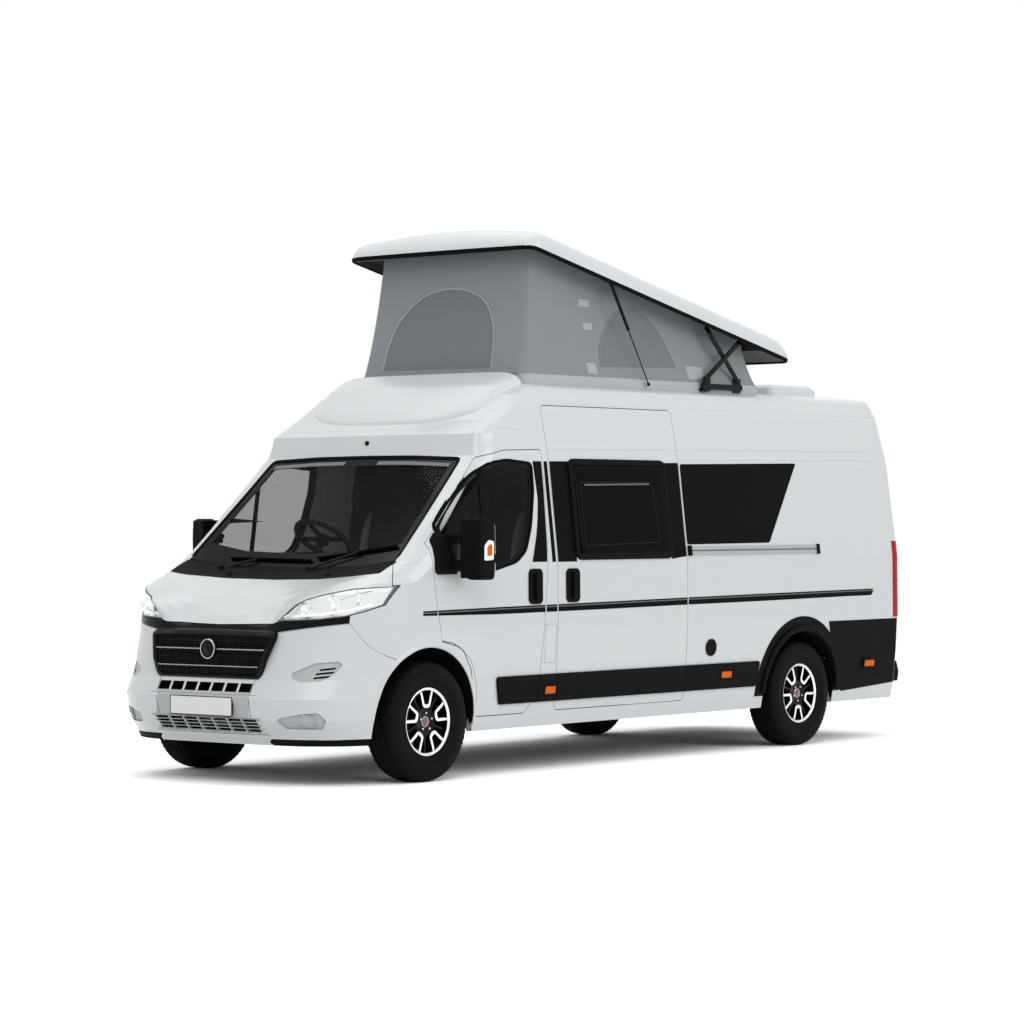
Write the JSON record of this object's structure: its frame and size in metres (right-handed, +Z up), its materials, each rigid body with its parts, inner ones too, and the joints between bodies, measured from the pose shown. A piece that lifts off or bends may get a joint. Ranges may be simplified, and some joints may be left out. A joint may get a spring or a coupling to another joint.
{
  "type": "camper van",
  "caption": "Extra-long high-roof panel van made into a camper, with a raised wedge-shaped pop-top, fabric tent, sliding side door, hinged cab and rear doors.",
  "frame": {"origin": "on the ground under the centre of the bounding box", "axes": "+Z up, -Y towards the front of the van, +X towards the van's left side"},
  "size_m": [2.4896, 6.363, 3.4808],
  "materials": {
    "aluminium": "satin anodised",
    "black_plastic": "grained black moulding",
    "black_steel": "black chassis paint",
    "dark_glass": "dark tinted pane",
    "glass": "laminated glass",
    "gloss_black": "gloss black",
    "grey_plastic": "light grey moulding",
    "iron": "cast iron",
    "lamp_clear": "clear lamp lens",
    "lamp_red": "red lamp lens",
    "seat_fabric": "dark seat cloth",
    "steel": "bright steel",
    "tent_fabric": "grey coated canvas",
    "tyre": "black tyre and alloy wheel",
    "white_gelcoat": "white gelcoat",
    "white_paint": "cool white gloss coach paint"
  },
  "bodies": {
    "body": {"floor_frame": "black_steel", "side_panel_left": "white_paint", "side_panel_right": "white_paint", "roof_panel": "white_paint", "cab_cap": "white_gelcoat", "roof_light": "white_gelcoat", "windscreen_frame": "white_paint", "windscreen": "glass", "cowl": "black_plastic", "front_wing_left": "white_paint", "front_wing_right": "white_paint", "front_bumper": "white_paint", "number_plate": "white_gelcoat", "grille": "gloss_black", "headlamps": "lamp_clear", "sliding_door": "white_paint", "sliding_door_window": "dark_glass", "side_window_right": "dark_glass", "rear_bumper": "black_plastic", "tail_lamps": "lamp_red", "side_mouldings": "black_plastic", "door_rail": "aluminium", "pop_top_frame": "grey_plastic", "tent": "tent_fabric", "dashboard": "black_plastic", "steering_wheel": "black_plastic", "cab_seats": "seat_fabric", "wheel_liners": "black_plastic", "engine": "iron", "fuel_tank": "black_plastic", "front_subframe": "black_steel", "rear_axle": "black_steel"},
    "bonnet": {"bonnet": "white_paint"},
    "front_door_left": {"front_door_left": "white_paint", "front_door_glass_left": "dark_glass", "front_door_trim_left": "black_plastic"},
    "front_door_right": {"front_door_right": "white_paint", "front_door_glass_right": "dark_glass", "front_door_trim_right": "black_plastic"},
    "rear_door_left": {"rear_door_left": "white_paint", "rear_door_glass_left": "dark_glass"},
    "rear_door_right": {"rear_door_right": "white_paint", "rear_door_glass_right": "dark_glass"},
    "fuel_flap": {"fuel_flap": "white_paint"},
    "pop_top_roof": {"pop_top_roof": "white_gelcoat"},
    "lift_arms_rear": {"lift_arms_rear": "black_steel"},
    "lift_arms_front": {"lift_arms_front": "black_steel"},
    "gas_strut_tubes": {"gas_strut_tubes": "black_steel"},
    "gas_strut_rods": {"gas_strut_rods": "steel"},
    "knuckle_left": {"knuckle_left": "black_steel"},
    "knuckle_right": {"knuckle_right": "black_steel"},
    "wheel_front_left": {"wheel_front_left": "tyre"},
    "wheel_front_right": {"wheel_front_right": "tyre"},
    "wheel_rear_left": {"wheel_rear_left": "tyre"},
    "wheel_rear_right": {"wheel_rear_right": "tyre"}
  },
  "joints": [
    {"name": "pop_top", "type": "hinge", "parent": "body", "child": "pop_top_roof", "pos_m": [0, 2.773, 2.585], "axis": [1, 0, 0], "range_deg": [0, 12.15], "deforming": ["tent"]},
    {"name": "lift_arms_rear", "type": "hinge", "parent": "body", "child": "lift_arms_rear", "pos_m": [0, 1.404, 2.57], "axis": [1, 0, 0], "range_deg": [0, 44.39]},
    {"name": "lift_arms_front", "type": "hinge", "parent": "body", "child": "lift_arms_front", "pos_m": [0, 1.009, 2.57], "axis": [1, 0, 0], "range_deg": [-34.58, 0]},
    {"name": "gas_struts_swing", "type": "hinge", "parent": "pop_top_roof", "child": "gas_strut_tubes", "pos_m": [0, -0.09325, 3.2072], "axis": [1, 0, 0], "range_deg": [0, 37.34]},
    {"name": "gas_struts_slide", "type": "slide", "parent": "gas_strut_tubes", "child": "gas_strut_rods", "axis": [0, 0.5333, -0.8459], "range_m": [-0.3113, 0]},
    {"name": "front_door_left", "type": "hinge", "parent": "body", "child": "front_door_left", "pos_m": [1.03, -2.229, 1], "axis": [0, 0, -1], "range_deg": [0, 68]},
    {"name": "front_door_right", "type": "hinge", "parent": "body", "child": "front_door_right", "pos_m": [-1.03, -2.229, 1], "axis": [0, 0, 1], "range_deg": [0, 68]},
    {"name": "rear_door_left", "type": "hinge", "parent": "body", "child": "rear_door_left", "pos_m": [0.946, 3.095, 1.4], "axis": [0, 0, -1], "range_deg": [0, 180]},
    {"name": "rear_door_right", "type": "hinge", "parent": "body", "child": "rear_door_right", "pos_m": [-0.946, 3.095, 1.4], "axis": [0, 0, 1], "range_deg": [0, 180]},
    {"name": "bonnet", "type": "hinge", "parent": "body", "child": "bonnet", "pos_m": [0, -2.381, 1.324], "axis": [-1, 0, 0], "range_deg": [0, 55]},
    {"name": "fuel_flap", "type": "hinge", "parent": "body", "child": "fuel_flap", "pos_m": [1.027, -1.114, 0.809], "axis": [0, 0, -1], "range_deg": [0, 90]},
    {"name": "steer_left", "type": "hinge", "parent": "body", "child": "knuckle_left", "pos_m": [0.835, -2.2335, 0.368], "axis": [0, 0, 1], "range_deg": [-36, 36]},
    {"name": "steer_right", "type": "hinge", "parent": "body", "child": "knuckle_right", "pos_m": [-0.835, -2.2335, 0.368], "axis": [0, 0, 1], "range_deg": [-36, 36]},
    {"name": "roll_front_left", "type": "hinge", "parent": "knuckle_left", "child": "wheel_front_left", "pos_m": [0.905, -2.2335, 0.368], "axis": [1, 0, 0], "continuous": true},
    {"name": "roll_front_right", "type": "hinge", "parent": "knuckle_right", "child": "wheel_front_right", "pos_m": [-0.905, -2.2335, 0.368], "axis": [1, 0, 0], "continuous": true},
    {"name": "roll_rear_left", "type": "hinge", "parent": "body", "child": "wheel_rear_left", "pos_m": [0.895, 1.8015, 0.368], "axis": [1, 0, 0], "continuous": true},
    {"name": "roll_rear_right", "type": "hinge", "parent": "body", "child": "wheel_rear_right", "pos_m": [-0.895, 1.8015, 0.368], "axis": [1, 0, 0], "continuous": true}
  ],
  "couplings": [
    {"joint": "lift_arms_rear", "follows": "pop_top", "ratio": 3.6125},
    {"joint": "lift_arms_front", "follows": "pop_top", "ratio": -2.8052},
    {"joint": "gas_struts_swing", "follows": "pop_top", "ratio": 3.0323},
    {"joint": "gas_struts_slide", "follows": "pop_top", "m_per_rad": -1.4657},
    {"joint": "steer_right", "follows": "steer_left", "ratio": 1}
  ]
}
